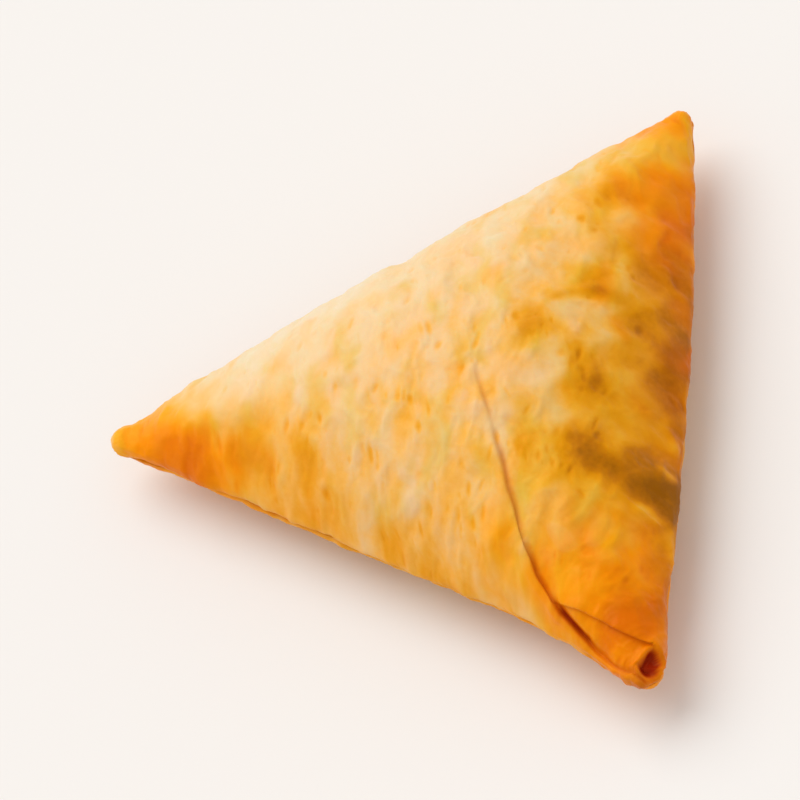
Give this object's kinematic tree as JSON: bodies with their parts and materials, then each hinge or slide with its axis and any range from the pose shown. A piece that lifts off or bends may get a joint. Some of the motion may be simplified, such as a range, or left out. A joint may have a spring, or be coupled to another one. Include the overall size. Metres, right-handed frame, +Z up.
{
  "type": "samosa",
  "caption": "Fried triangular samosa of thin folded pastry, filled like a cushion, with a seam and a small open fold at one corner.",
  "frame": {"origin": "middle of the outline, on the surface that the samosa lies on", "axes": "+X along the front side towards the corner with the open fold, +Y towards the back corner, +Z up"},
  "size_m": [0.0858, 0.075, 0.0238],
  "materials": {
    "fried_pastry": "golden brown, thinly oiled, blistered"
  },
  "bodies": {
    "root": {"samosa": "fried_pastry"}
  },
  "joints": []
}
